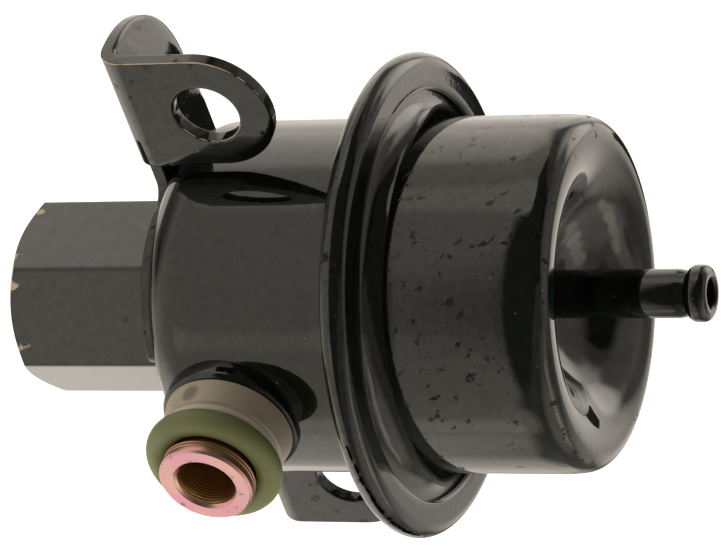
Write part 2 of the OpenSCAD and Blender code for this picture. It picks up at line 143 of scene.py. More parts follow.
def facing(direction, near, far):
    """1 within near degrees of a direction, falling to 0 at far degrees."""
    dot = add(room, "ShaderNodeVectorMath", operation="DOT_PRODUCT")
    room.links.new(sight, dot.inputs[0])
    dot.inputs[1].default_value = direction
    return remap(room, dot.outputs["Value"], math.cos(math.radians(far)), math.cos(math.radians(near)))


ROOM_LEVEL, GROUND_LEVEL = 1.12, 1.05
WARM_WHITE = (1.0, 0.925, 0.82, 1)
DABS = (  # azimuth, elevation, where the dab is full, where it ends, level
    (-141, 16, 21, 28, 1.92),  # pale wall behind
    (-114, 13, 2, 34, 0.24),  # dark gap to the left, with a sharp end
    (-124, -2, 5, 11, 1.6),
    (-101, 8, 5, 10, 0.12),
    (76, 9, 91, 98, 0.1),  # dark side behind the camera, with a straight edge
    (59, -41, 60, 68, 0.29),  # table to the right
    (55, -42, 12, 40, 1.03),
    (111, 16, 26, 31, 0.05),  # dark wall to the right, with a paler middle
    (154, 6, 37, 43, 0.37),
    (111, -1, 12, 32, 0.72),
    (63, -12, 7, 16, 0.6),  # tall narrow window between two dark strips
    (79, -24, 8, 20, 1.1),
    (70, -21, 3, 8, 1.9),
    (72, -32, 3, 9, 2.0),
    (75, -43, 3, 9, 2.2),
    (86, -53, 3, 11, 1.7),
    (93, -27, 3, 9, 0.35),
    (102, -52, 2, 11, 0.54),
    (131, -57, 4, 20, 0.94),
    (180, -49, 3, 29, 0.05),
    (152, 3, 5, 27, 2.1),  # soft lamp behind to the right
    (132, 6, 10, 22, 0.59),
    (159, -26, 11, 19, 1.6),
    (154, -9, 7, 17, 3.0),
    (167, -48, 2, 21, 1.37),
    (-63, -39, 16, 31, 1.85),  # soft lamps to the left
    (-29, -40, 7, 15, 1.15),
    (-34, -44, 2, 8, 1.6),
    (-121, -57, 2, 7, 1.75),
    (-32, 12, 2, 11, 1.57),
    (-145, 69, 10, 15, 1.58),
    (-169, -10, 13, 20, 1.58),
)
bright = None
for azimuth, elevation, full, end, level in DABS:
    dab = facing(heading(azimuth, elevation), full, end)
    if bright is None:
        bright = math_node(room, "MULTIPLY_ADD", dab, level - ROOM_LEVEL, ROOM_LEVEL)
    else:
        pull = math_node(room, "SUBTRACT", level, bright)
        bright = math_node(room, "MULTIPLY_ADD", pull, dab, bright)
lit = room.nodes["Background"]
lit.inputs["Color"].default_value = WARM_WHITE
room.links.new(bright, lit.inputs["Strength"])
ground = add(room, "ShaderNodeBackground", Strength=GROUND_LEVEL)
ground.inputs["Color"].default_value = (1, 1, 1, 1)
seen = add(room, "ShaderNodeMixShader")
room.links.new(add(room, "ShaderNodeLightPath").outputs["Is Camera Ray"], seen.inputs[0])
room.links.new(lit.outputs[0], seen.inputs[1])
room.links.new(ground.outputs[0], seen.inputs[2])
room.links.new(seen.outputs[0], room.nodes["World Output"].inputs["Surface"])

FLOOR_Z, FLOOR_REACH = -0.2, 2.5
floor_mesh = bpy.data.meshes.new("floor")
floor_corners = [(x * FLOOR_REACH, y * FLOOR_REACH, FLOOR_Z) for x, y in ((-1, -1), (1, -1), (1, 1), (-1, 1))]
floor_mesh.from_pydata(floor_corners, [], [(0, 1, 2, 3)])
floor = bpy.data.objects.new("floor", floor_mesh)
scene.collection.objects.link(floor)
paper = bpy.data.materials.new("pale_paper")
paper.use_nodes = True
sheet = paper.node_tree.nodes["Principled BSDF"]
sheet.inputs["Base Color"].default_value = (0.82, 0.78, 0.74, 1)
sheet.inputs["Roughness"].default_value = 0.9
sheet.inputs["Emission Color"].default_value = (1.0, 0.93, 0.88, 1)
sheet.inputs["Emission Strength"].default_value = 0.95
floor_mesh.materials.append(paper)
floor.visible_glossy = False

# The black card is painted shade, the table shadow that the arm mirrors; it lies far behind the bracket and
# fades out at one edge.
CARD_CENTRE = Vector((75.4, 157, -115.5)) * MM
CARD_ACROSS, CARD_DOWN = Vector((0.924, -0.277, 0.263)), Vector((0, -0.688, -0.725))
CARD = ((14.5, -10.7), (14.5, 8), (-85, 8), (-85, -30), (-12, -30))  # in mm across and down
CARD_FADE = 1.9 * MM
card_mesh = bpy.data.meshes.new("table_shadow_card")
card_corners = [CARD_CENTRE + (CARD_ACROSS * a + CARD_DOWN * b) * MM for a, b in CARD]
card_mesh.from_pydata(card_corners, [], [tuple(range(len(CARD)))])
card = bpy.data.objects.new("table_shadow_card", card_mesh)
scene.collection.objects.link(card)
# Painted shade: the card's dark sheet stands for the regulator's shadow on the table.
shadow_finish = bpy.data.materials.new("painted_table_shadow")
shadow_finish.use_nodes = True
shadow_nodes = shadow_finish.node_tree
from_edge = add(shadow_nodes, "ShaderNodeVectorMath", operation="DOT_PRODUCT")
shadow_nodes.links.new(add(shadow_nodes, "ShaderNodeTexCoord").outputs["Object"], from_edge.inputs[0])
edge_in = (CARD_DOWN * 0.81 - CARD_ACROSS * 0.59).normalized()
from_edge.inputs[1].default_value = edge_in
edge_at = edge_in.dot(card_mesh.vertices[0].co)
black = shadow_nodes.nodes["Principled BSDF"]
black.inputs["Base Color"].default_value = (0.05, 0.05, 0.048, 1)
black.inputs["Roughness"].default_value = 0.9
black.inputs["Specular IOR Level"].default_value = 0.1
fade = remap(shadow_nodes, from_edge.outputs["Value"], edge_at, edge_at + CARD_FADE)
shadow_nodes.links.new(fade, black.inputs["Alpha"])
card_mesh.materials.append(shadow_finish)
card.visible_camera = card.visible_diffuse = card.visible_shadow = False
print("dabs of light:", len(DABS))

# %% [markdown]
# Nearly every piece here was turned, drawn or spun, so its shape is one outline carried round an
# axis. A short function carries a closed outline round, and because the outline may change with
# the angle, the same function also makes the hexagon and its thread. Blender's Screw modifier
# would do for the plain ones, but not for those.


# %% A tool for turned pieces
def arc(centre, radius, start, end, steps):
    """Points of [radius, distance] on an arc, with angles in degrees from the radius direction."""
    angles = [math.radians(start + (end - start) * k / steps) for k in range(steps + 1)]
    return [(centre[0] + radius * math.cos(a), centre[1] + radius * math.sin(a)) for a in angles]


def carried_round(name, angles, outline_at, axis):
    """A closed ring of closed outlines of (radius, distance) in mm, round +X or round -Y."""
    rings = [outline_at(a) for a in angles]
    count = len(rings[0])
    points = []
    for a, ring in zip(angles, rings):
        for radius, distance in ring:
            u, v = radius * math.cos(a), radius * math.sin(a)
            points.append((distance, u, v) if axis == "X" else (u, -distance, v))
    faces = []
    for i in range(len(rings)):
        j = (i + 1) % len(rings)
        for k in range(count):
            m = (k + 1) % count
            faces.append((i * count + k, i * count + m, j * count + m, j * count + k))
    mesh = bpy.data.meshes.new(name)
    mesh.from_pydata([Vector(p) * MM for p in points], [], faces)
    return finished(name, mesh)


SHARP = 32


def shade_closed(mesh, sharp, merge=0.0):
    """Turns the normals of a closed mesh outward and keeps its sharp edges sharp."""
    work = bmesh.new()
    work.from_mesh(mesh)
    if merge:
        bmesh.ops.remove_doubles(work, verts=work.verts, dist=merge)
    bmesh.ops.recalc_face_normals(work, faces=work.faces)
    work.to_mesh(mesh)
    work.free()
    for face in mesh.polygons:
        face.use_smooth = True
    mesh.set_sharp_from_angle(angle=math.radians(sharp))


def finished(name, mesh, sharp=SHARP):
    """An object of a closed mesh, shaded and in the scene."""
    shade_closed(mesh, sharp)
    made = bpy.data.objects.new(name, mesh)
    scene.collection.objects.link(made)
    return made


def turned(name, outline, axis="X", around=240):
    """A piece with the same outline all round."""
    return carried_round(name, [2 * math.pi * k / around for k in range(around)], lambda a: outline, axis)


def mark(piece, name, weight):
    """A number on each vertex, from its place in mm, for a finish that follows the shape."""
    layer = piece.data.attributes.new(name, "FLOAT", "POINT")
    layer.data.foreach_set("value", [weight(v.co / MM) for v in piece.data.vertices])


def stands_for(piece, node, body="body"):
    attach(piece, body)
    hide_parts(node)
    print(piece.name, "faces:", len(piece.data.polygons))


def ramp(value, low, high):
    """0 at low, 1 at high, straight between and level outside; low may be the larger one."""
    return max(0.0, min(1.0, (value - low) / (high - low)))


# %% [markdown]
# The enamel is a thin, hard, glossy film. Close up it has a faint orange peel, small dark nicks and
# short scratches where it was handled, a little tan dust, and chips on a few edges that show the
# primer. The nicks are flakes of a noise, and ovals and strokes that are stretched Voronoi cells,
# thinned out at random. A nick hardly mirrors the room, so it lowers the specular level as well as
# denting the surface. Two numbers on the vertices, nicked and chipped, say where there is more of
# each, and where nicked is well over 1 the film is rubbed dull.


# %% Black enamel
def new_finish(name, metallic=0.0):
    """A material with its node tree and its main shader."""
    made = bpy.data.materials.new(name)
    made.use_nodes = True
    main = made.node_tree.nodes["Principled BSDF"]
    main.inputs["Metallic"].default_value = metallic
    return made, made.node_tree, main


def stretched(tree, scale=(1, 1, 1), turn=(0, 0, 0)):
    """Object coordinates, turned first and then stretched, which is how a Texture mapping works."""
    mapping = add(tree, "ShaderNodeMapping", vector_type="TEXTURE")
    tree.links.new(add(tree, "ShaderNodeTexCoord").outputs["Object"], mapping.inputs["Vector"])
    mapping.inputs["Scale"].default_value = [1 / k for k in scale]
    mapping.inputs["Rotation"].default_value = [math.radians(t) for t in turn]
    return mapping.outputs["Vector"]


def noise(tree, scale, vector=None, detail=3.0, distortion=0.0):
    """Soft random patches from 0 to 1."""
    made = add(tree, "ShaderNodeTexNoise", Scale=scale, Detail=detail, Distortion=distortion)
    tree.links.new(vector or stretched(tree), made.inputs["Vector"])
    return made.outputs["Fac"]


def spots(tree, scale, vector, size, share):
    """Scattered spots: the middles of some cells of a Voronoi pattern."""
    cells = add(tree, "ShaderNodeTexVoronoi", Scale=scale)
    tree.links.new(vector, cells.inputs["Vector"])
    chance = add(tree, "ShaderNodeSeparateColor")
    tree.links.new(cells.outputs["Color"], chance.inputs[0])
    near = remap(tree, cells.outputs["Distance"], size, size * 0.6)
    return math_node(tree, "MULTIPLY", near, math_node(tree, "LESS_THAN", chance.outputs[0], share))


def blend_colour(tree, factor, a, b):
    """A Mix node for colours, each a socket or four numbers."""
    made = add(tree, "ShaderNodeMix", data_type="RGBA")
    tree.links.new(factor, made.inputs["Factor"])
    for socket, value in zip((made.inputs[6], made.inputs[7]), (a, b)):
        if isinstance(value, tuple):
            socket.default_value = value
        else:
            tree.links.new(value, socket)
    return made.outputs[2]


def vertex_number(tree, name):
    return add(tree, "ShaderNodeAttribute", attribute_name=name).outputs["Fac"]


def dent(tree, shader, height, strength, depth):
    """Lets a height tilt the shading, as a relief of this depth would."""
    bump = add(tree, "ShaderNodeBump", Strength=strength, Distance=depth)
    tree.links.new(height, bump.inputs["Height"])
    tree.links.new(bump.outputs[0], shader.inputs["Normal"])


def uneven_gloss(tree, shader, scale, spread, least):
    """A roughness that varies in patches."""
    rough = math_node(tree, "MULTIPLY_ADD", noise(tree, scale), spread, least)
    tree.links.new(rough, shader.inputs["Roughness"])


FILM_DARK, FILM_PALE = (0.0022, 0.0048, 0.0034, 1), (0.0065, 0.0085, 0.0065, 1)
NICK_TONE, DUST_TONE = (0.002, 0.003, 0.0022, 1), (0.3, 0.22, 0.13, 1)
PRIMER_DARK, PRIMER_PALE = (0.45, 0.29, 0.15, 1), (0.8, 0.7, 0.53, 1)
STROKES = (  # share of the cells, how each axis is packed, turn in degrees
    (0.09, (0.6, 9, 9), (0, 25, 40)),
    (0.09, (0.9, 8, 8), (0, -40, -30)),
    (0.05, (0.5, 9, 9), (0, 70, 20)),
)
enamel, tree, shader = new_finish("black_enamel_gloss")
patches = remap(tree, noise(tree, 110, detail=4), 0.5, 0.68)
use = vertex_number(tree, "nicked")
patches = math_node(tree, "MULTIPLY", patches, remap(tree, use, 0.0, 0.3))
busy = math_node(tree, "MULTIPLY_ADD", use, 0.8, patches)
ovals = spots(tree, 330, stretched(tree, (0.9, 1.3, 0.7), (25, 20, 35)), 0.16, 0.11)
flakes = remap(tree, noise(tree, 800, stretched(tree, (0.8, 1.2, 0.7), (30, 10, 40)), detail=5), 0.62, 0.66)
marks = flakes
for share, stroke, turn in STROKES:
    marks = math_node(tree, "MAXIMUM", marks, spots(tree, 420, stretched(tree, stroke, turn), 0.24, share))
ovals = math_node(tree, "MULTIPLY", ovals, math_node(tree, "ADD", busy, 0.2))
nicks = math_node(tree, "MAXIMUM", ovals, math_node(tree, "MULTIPLY", marks, busy))
ragged = noise(tree, 900, detail=5)
torn = math_node(tree, "MULTIPLY", use, noise(tree, 2200, stretched(tree, (1, 0.5, 0.5)), detail=5))
rubbed = remap(tree, torn, 1.0, 1.15)
nicks = math_node(tree, "MAXIMUM", math_node(tree, "MINIMUM", nicks, 1.0), rubbed)
dust = spots(tree, 800, stretched(tree), 0.075, 0.12)
dust = math_node(tree, "MAXIMUM", dust, spots(tree, 1900, stretched(tree, (1, 1.4, 1)), 0.12, 0.05))
edge = math_node(tree, "MULTIPLY", vertex_number(tree, "chipped"), ragged)
chips = remap(tree, edge, 0.42, 0.5)
mottle = noise(tree, 1300, detail=6)
film = blend_colour(tree, remap(tree, mottle, 0.35, 0.7), FILM_DARK, FILM_PALE)
film = blend_colour(tree, nicks, film, NICK_TONE)
film = blend_colour(tree, dust, film, DUST_TONE)
primer = blend_colour(tree, noise(tree, 1500), PRIMER_DARK, PRIMER_PALE)
tree.links.new(blend_colour(tree, chips, film, primer), shader.inputs["Base Color"])
rough = math_node(tree, "MULTIPLY_ADD", noise(tree, 160), 0.06, 0.02)
rough = math_node(tree, "MULTIPLY_ADD", math_node(tree, "MAXIMUM", nicks, chips), 0.3, rough)
rough = math_node(tree, "MULTIPLY_ADD", rubbed, 0.45, rough)
tree.links.new(rough, shader.inputs["Roughness"])
mirror = math_node(tree, "MULTIPLY_ADD", math_node(tree, "MAXIMUM", nicks, dust), -0.36, 0.41)
mirror = math_node(tree, "MULTIPLY_ADD", mottle, 0.22, mirror)
mirror = math_node(tree, "MULTIPLY_ADD", rubbed, -0.2, mirror)
tree.links.new(mirror, shader.inputs["Specular IOR Level"])
peel = math_node(tree, "MULTIPLY_ADD", noise(tree, 420, detail=2), 0.5, noise(tree, 1400, detail=2))
height = math_node(tree, "SUBTRACT", peel, math_node(tree, "MULTIPLY", nicks, 1.2))
height = math_node(tree, "SUBTRACT", height, math_node(tree, "MULTIPLY", chips, 2.5))
dent(tree, shader, height, 0.22, 0.000012)
print("enamel nodes:", len(tree.nodes))


def enamelled(piece, node, nicked, chipped):
    """Coats a piece, marks its wear and puts it in the place of its solid."""
    piece.data.materials.append(enamel)
    mark(piece, "nicked", nicked)
    mark(piece, "chipped", chipped)
    stands_for(piece, node)


# %% [markdown]
# The spring cover is a cup drawn from sheet. Its crest is tight on the outside and has a wide flank
# on the inside. The dish is part of a sphere that runs into that flank with no edge, so the centre
# of the sphere follows from the depth of the dish. The press let the wall lean in a little before
# the crest: hardly a quarter of a millimetre, but on a mirror that is where the reflections turn
# dark. The outline goes once round the sheet, outside first and then inside.

# %% Spring cover
SHEET = 0.8
LIP_X, FLANGE_X = 16.4, 15.6
COVER_R, CREST_X, CREST_R, FLANK_R, DISH = 18.3, 35.4, 2.1, 8.0, 8.0
BEND_R = 2.4
NIPPLE_R = 2.5
CLAMPED_R = 23.4
LEAN_R, LEAN = 18.0, 8.0
lean = math.radians(LEAN)
lean_x = CREST_X - CREST_R - (LEAN_R - CREST_R) * math.sin(lean)
crest = (COVER_R - LEAN_R + (LEAN_R - CREST_R) * math.cos(lean), CREST_X - CREST_R)
flank = (crest[0], CREST_X - FLANK_R)
dish_r = (crest[0] ** 2 / DISH + DISH) / 2 - FLANK_R
dish_x = CREST_X - DISH + dish_r
meets = math.degrees(math.atan2(dish_x - flank[1], -flank[0]))


def cup_side(inset):
    """The cover from its flange to its middle, set in from the outside by inset."""
    hole = math.degrees(math.asin(NIPPLE_R / (dish_r + inset)))
    bend = (COVER_R + BEND_R, LIP_X + BEND_R)
    points = arc(bend, BEND_R + inset, 270, 180, 14)
    wall = lean_x - bend[1]
    points += [(COVER_R - inset, bend[1] + wall * k / 10) for k in range(1, 10)]
    points += arc((COVER_R - LEAN_R, lean_x), LEAN_R - inset, 0, LEAN, 8)
    points += arc(crest, CREST_R - inset, LEAN, 90, 18)[1:]
    points += arc(flank, FLANK_R - inset, 90, meets, 16)[1:]
    points += arc((0, dish_x), dish_r + inset, meets - 180, -90 + hole, 34)[1:]
    return points


outline = [(CLAMPED_R, FLANGE_X), (CLAMPED_R, LIP_X)] + cup_side(0) + cup_side(SHEET)[::-1]
cover = turned("spring_cover_shell", outline)


def cover_wear(p):
    """Handling marks on the wall and most of all on the outer side of the crest."""
    outer = ramp(math.hypot(p.y, p.z), 15.5, 16.5)
    return outer * (0.75 * ramp(p.x, 19, 21) + 0.4 * ramp(p.x, 33.5, 35))


enamelled(cover, "spring_cover", cover_wear, lambda p: 0.35 * ramp(p.x, 35.0, 35.4))

# %% [markdown]
# The fuel housing is the other cup. Its edge is rolled over the diaphragm and the cover's flange,
# so four layers lie in the rim and the roll is a half ring round them. The hole for the inlet is
# cut with a Boolean, because it goes through a curved wall. A rubbed line slants across the roll on
# the lower front, so the roll has many points round its half ring for the line to follow.

# %% Fuel housing with its rolled rim
RIM_R, RIM_X, HEM_R = 25.0, 15.7, 1.5
HOUSING_R, END_X, CORNER_R = 18.3, -8.7, 5.0
NECK_R, INLET_NECK_R = 5.0, 4.6
hem = (RIM_R - HEM_R, RIM_X)
LIP_R = 21.1
flange_x = RIM_X - HEM_R
lip_round = SHEET / 2


def housing_side(inset):
    """The housing from its flange to its middle, set in from the outside by inset."""
    bend = (HOUSING_R + BEND_R, flange_x - BEND_R)
    corner = (HOUSING_R - CORNER_R, END_X + CORNER_R)
    points = arc(bend, BEND_R + inset, 90, 180, 14)
    wall = corner[1] - bend[1]
    points += [(HOUSING_R - inset, bend[1] + wall * k / 12) for k in range(1, 12)]
    points += arc(corner, CORNER_R - inset, 0, -90, 16)
    points += [(corner[0] - k * 1.1, END_X + inset) for k in range(1, 8)]
    return points + [(NECK_R, END_X + inset)]


roll = arc(hem, HEM_R, -90, 90, 56)
lip = (LIP_R + lip_round, RIM_X + HEM_R - lip_round)
roll += [(hem[0] - 0.6, RIM_X + HEM_R), (lip[0] + 0.6, RIM_X + HEM_R)]
roll += arc(lip, lip_round, 90, 270, 12)
roll += arc(hem, HEM_R - SHEET, 90, -90, 20)
outline = housing_side(0)[::-1] + roll + housing_side(SHEET)
housing = turned("fuel_housing_shell", outline)
drill = turned("inlet_drill", [(0.01, 12), (INLET_NECK_R, 12), (INLET_NECK_R, 22), (0.01, 22)], "Y", 64)
cut = housing.modifiers.new("inlet_hole", "BOOLEAN")
cut.object, cut.operation, cut.solver = drill, "DIFFERENCE", "EXACT"


def settled(piece):
    """Turns what the modifiers make into the piece's own mesh and removes them."""
    view = bpy.context.evaluated_depsgraph_get()
    mesh = bpy.data.meshes.new_from_object(piece.evaluated_get(view))
    piece.modifiers.clear()
    piece.data = mesh
    return piece


settled(housing)
bpy.data.objects.remove(drill)
housing.data.set_sharp_from_angle(angle=math.radians(SHARP))
housing.data.materials.clear()


def rim_wear(p):
    """Marks all round the roll, and a rubbed line that slants across it on the lower front."""
    radius = math.hypot(p.y, p.z)
    turn = math.degrees(math.atan2(p.z, -p.y))
    section = math.degrees(math.atan2(p.x - hem[1], radius - hem[0]))
    line = max(0.0, 1 - abs(section - (1 - 0.8 * turn)) / 22) if radius > hem[0] else 0.0
    line *= ramp(turn, 20, 5) * ramp(turn, -44, -36)
    return max(0.9 * ramp(radius, 24.2, 24.9) * ramp(17.0, p.x, p.x + 0.6), 3.1 * line)


enamelled(housing, "fuel_housing", rim_wear, lambda p: 0.3 * ramp(math.hypot(p.y, p.z), 24.93, 25.0))

# %% [markdown]
# The vacuum nipple is a plain tube with a rounded bead that holds the hose, and a small flange
# inside the cover. A slight waist behind the bead is left by the rolling tool.

# %% Vacuum nipple
BORE_R, FLANGE_R = 1.55, 4.0
NIPPLE_X, TIP_X = 25.6, 46.9
BEAD_R, BEAD_ROUND, BEAD_LEN = 2.9, 0.85, 2.3
bead_start, bead_end = TIP_X - BEAD_LEN + BEAD_ROUND, TIP_X - BEAD_ROUND
outline = [(BORE_R, NIPPLE_X), (FLANGE_R, NIPPLE_X), (FLANGE_R, NIPPLE_X + 1.0), (NIPPLE_R, NIPPLE_X + 1.0)]
outline += [(NIPPLE_R, 28 + k * 1.5) for k in range(9)]
outline += [(NIPPLE_R, 43.4), (NIPPLE_R - 0.04, 43.8), (NIPPLE_R - 0.12, 44.2), (NIPPLE_R - 0.14, 44.55)]
outline += arc((BEAD_R - BEAD_ROUND, bead_start), BEAD_ROUND, -52, 0, 8)
outline += arc((BEAD_R - BEAD_ROUND, bead_end), BEAD_ROUND, 0, 76, 12)
outline += [(BORE_R + 0.35, TIP_X), (BORE_R + 0.12, TIP_X - 0.06), (BORE_R, TIP_X - 0.25)]
nipple = turned("vacuum_nipple_tube", outline, around=128)
enamelled(nipple, "vacuum_nipple", lambda p: 0.3 * ramp(p.x, 44, 46), lambda p: 0.0)

# %% [markdown]
# The bracket was punched from one sheet and then folded, and it is made in the same order here. The
# outline of the flat blank is a chain of lines and arcs, for one half and its mirror image. The
# front edge of each ear is keen away from the axis and rolled over towards it, and the outer corner
# of each arm is eased on the other face, so each point of the outline has its own width and depth
# of rounding on either face. Then the blank is sliced across the folds, and every point beyond the
# fold line is carried round the bend. A Weighted Normal modifier keeps the flat faces flat in their
# shading.

# %% Mounting bracket
PLATE_R, ARM_BACK, ARM_CORNER_R, ROOT_R = 13.25, 14.3, 12.2, 1.8
RELIEF_R, RELIEF_CORNER_R = 2.6, 1.2
PLATE_T, FOLD_R = 1.5, 1.2
EAR_Z, EAR_R, EAR_HOLE_R, EAR_FRONT = 26.25, 7.0, 3.5, -1.2
FLAT_RIM, FOLD_SLICES = 0.15, 14
fold = (END_X + FOLD_R, FOLD_R + PLATE_T + EAR_FRONT)
fold_len = math.pi / 2 * (FOLD_R + PLATE_T / 2)
ear_y = fold[1] - fold_len + fold[0]


def chain(centre, radius, start, end, step=4.0):
    """Points of an arc in the blank's plane of (y, z), about step degrees apart."""
    return arc(centre, radius, start, end, max(2, round(abs(end - start) / step)))


def line(a, b, step=1.5):
    """Points from a to b, without b."""
    count = max(1, round(math.dist(a, b) / step))
    return [(a[0] + (b[0] - a[0]) * k / count, a[1] + (b[1] - a[1]) * k / count) for k in range(count)]


def half_blank():
    """The outline from the relief under the inlet, round the ear, to the middle of the back."""
    to_plate, to_relief = PLATE_R - RELIEF_CORNER_R, RELIEF_R + RELIEF_CORNER_R
    y = (to_plate ** 2 + PLATE_R ** 2 - to_relief ** 2) / (2 * PLATE_R)
    nose = (-y, math.sqrt(to_plate ** 2 - y ** 2))
    relief_turn = math.degrees(math.atan2(nose[1], nose[0] + PLATE_R))
    nose_turn = math.degrees(math.atan2(nose[1], nose[0]))
    root = (fold[1] - ROOT_R, math.sqrt((PLATE_R + ROOT_R) ** 2 - (fold[1] - ROOT_R) ** 2))
    root_turn = math.degrees(math.atan2(root[1], root[0]))
    low, top = EAR_Z - EAR_R, EAR_Z + EAR_R
    points = chain((-PLATE_R, 0), RELIEF_R, 0, relief_turn, 8)
    points += chain(nose, RELIEF_CORNER_R, relief_turn - 180, nose_turn - 360, 10)[1:]
    points += chain((0, 0), PLATE_R, nose_turn, root_turn)[1:]
    points += chain(root, ROOT_R, root_turn - 180, 0, 8)[1:-1]
    points += line((fold[1], root[1]), (fold[1], low)) + line((fold[1], low), (ear_y, low))
    points += chain((ear_y, EAR_Z), EAR_R, 270, 90)
    points += line((ear_y, top), (ARM_BACK - ARM_CORNER_R, top))[1:]
    points += chain((ARM_BACK - ARM_CORNER_R, top - ARM_CORNER_R), ARM_CORNER_R, 90, 0)
    return points + line((ARM_BACK, top - ARM_CORNER_R), (ARM_BACK, 0))[1:] + [(ARM_BACK, 0)]


def front_edge(y, z):
    """Width and depth of the rounding on the front: rolled over on the ears, towards the axis."""
    if abs(z) < EAR_Z - EAR_R - 0.01 or y > fold[1] - 0.5:
        return 0.2, 0.2
    rolled = ramp(fold[1] - fold_len * 0.7 - y, 0, 5.0) * ramp(EAR_Z - 0.5 - abs(z), 0, 5.5)
    return 0.2 + 1.7 * rolled, 0.18 + 0.45 * rolled


def back_edge(y, z):
    """The same on the other face, where the arm's outer corner is eased."""
    eased = ramp(y, fold[1] + 1, fold[1] + 7) * ramp(abs(z), 16, 19)
    return 0.3 + 5.0 * eased, 0.3 + 0.25 * eased


def ring_rows(work, outline, front, back, steps=7):
    """Rows of vertices from the front face over the edge to the back face; gives the two end rows.
    The first and the last row lie a little further in, to keep the flat faces flat in their shading."""
    count = len(outline)
    rows = []
    for row in [0] + list(range(2 * steps + 2)) + [2 * steps + 1]:
        margin = FLAT_RIM if len(rows) in (0, 2 * steps + 3) else 0.0
        made = []
        for k, (y, z) in enumerate(outline):
            before, after = outline[k - 1], outline[(k + 1) % count]
            d1 = Vector((y - before[0], z - before[1])).normalized()
            d2 = Vector((after[0] - y, after[1] - z)).normalized()
            inward = Vector((-d1.y - d2.y, d1.x + d2.x)).normalized()
            inward /= max(0.5, inward.dot(Vector((-d1.y, d1.x))))
            wide, deep = front(y, z) if row <= steps else back(y, z)
            turn = math.pi / 2 * (row / steps if row <= steps else (2 * steps + 1 - row) / steps)
            inset, drop = wide * (1 - math.sin(turn)) + margin, deep * (1 - math.cos(turn))
            t = PLATE_T / 2 - drop if row <= steps else drop - PLATE_T / 2
            made.append(work.verts.new((t, y + inward.x * inset, z + inward.y * inset)))
        rows.append(made)
    for upper, lower in zip(rows, rows[1:]):
        for k in range(count):
            m = (k + 1) % count
            work.faces.new((upper[k], upper[m], lower[m], lower[k]))
    return rows[0], rows[-1]


def folded(t, y, z):
    """A point of the blank after folding; t is its place in the thickness, front face first."""
    reach = FOLD_R + PLATE_T / 2 + t
    along = fold[1] - y
    if along <= 0 or abs(z) < EAR_Z - EAR_R - 0.05:
        return Vector((fold[0] - reach, y, z))
    turn = min(along, fold_len) / fold_len * math.pi / 2
    ahead = max(0.0, along - fold_len)
    return Vector((fold[0] - reach * math.cos(turn) + ahead, fold[1] - reach * math.sin(turn), z))


def hole_rim(y, z, radius, count=144):
    """The rim of a hole in the blank, the other way round than the outline."""
    turns = [-2 * math.pi * k / count for k in range(count)]
    return [(radius * math.cos(a) + y, radius * math.sin(a) + z) for a in turns]


half = half_blank()
blank = half + [(y, -z) for y, z in half[-2:0:-1]]
holes = [hole_rim(ear_y, side * EAR_Z, EAR_HOLE_R) for side in (1, -1)] + [hole_rim(0, 0, NECK_R)]
work = bmesh.new()
borders = [[], []]
area = sum(a[0] * b[1] - b[0] * a[1] for a, b in zip(blank, blank[1:] + blank[:1]))
for k, outline in enumerate([blank if area > 0 else blank[::-1]] + holes):
    if k == 0:
        ends = ring_rows(work, outline, front_edge, back_edge)
    else:
        ends = ring_rows(work, outline, lambda y, z: (0.22, 0.2), lambda y, z: (0.25, 0.2))
    for side, row in zip(borders, ends):
        pairs = [(row[n], row[(n + 1) % len(row)]) for n in range(len(row))]
        side += [work.edges.get(pair) or work.edges.new(pair) for pair in pairs]
for side in borders:
    bmesh.ops.triangle_fill(work, edges=side, use_beauty=True)
bmesh.ops.recalc_face_normals(work, faces=work.faces)
for k in range(FOLD_SLICES + 1):
    bmesh.ops.bisect_plane(
        work, geom=work.verts[:] + work.edges[:] + work.faces[:],
        plane_co=(0, fold[1] - fold_len * k / FOLD_SLICES, 0), plane_no=(0, 1, 0), dist=1e-5,
    )
for v in work.verts:
    v.co = folded(*v.co) * MM
sheet_mesh = bpy.data.meshes.new("mounting_bracket_sheet")
work.to_mesh(sheet_mesh)
work.free()
bracket = finished("mounting_bracket_sheet", sheet_mesh, sharp=50)
flat_shading = bracket.modifiers.new("flat_faces", "WEIGHTED_NORMAL")
flat_shading.keep_sharp = True
settled(bracket)


def ear_line(p):
    """The keen top edge of the upper ear and the rim of its hole, where the enamel has worn through."""
    if p.z < 0 or p.x < fold[0] - 2.4 or p.y > 0:
        return 0.0
    to_middle = math.hypot(max(0.0, p.x), p.z - EAR_Z)
    bend = FOLD_R + PLATE_T - math.hypot(p.x - fold[0], p.y - fold[1])
    keen = math.hypot(EAR_R - to_middle, p.y - EAR_FRONT if p.x > fold[0] else bend)
    top = ramp(0.135 - keen, 0, 0.035) * ramp(p.z, EAR_Z - 1, EAR_Z + 2) * (1.5 if p.x < 4 else 0.95)
    rim = math.hypot(math.hypot(p.x, p.z - EAR_Z) - EAR_HOLE_R, p.y - EAR_FRONT)
    return max(top, ramp(0.14 - rim, 0, 0.04) * ramp(EAR_Z - p.z, -0.5, 1.5))


enamelled(bracket, "mounting_bracket", lambda p: 0.5, ear_line)

# %% [markdown]
# The outlet is a length of hexagon bar. Its end is chamfered in the lathe, which cuts each flat in
# a curve, and inside it has a return thread. Each angle round the axis has an outline of its own:
# the distance to the flat outside, and inside a groove that moves on by one pitch in a turn.

# %% Outlet hexagon with its thread
HEX_R, HEX_X, PLATE_X = 9.0, -27.3, -10.2
CHAMFER_R, CHAMFER_SLOPE = 8.892, 0.633
THREAD_R, THREAD_DEEP, PITCH, THREAD_END, THREAD_STEP = 6.25, 0.75, 1.5, -14.3, 0.125
DRILL_POINT = 2.22
TUBE_R, TUBE_BORE_R, RIVET_R, RIVET_X, SOCKET_X = 3.2, 2.4, 6.1, -6.9, -11.1
EDGE_ROUND = 0.35


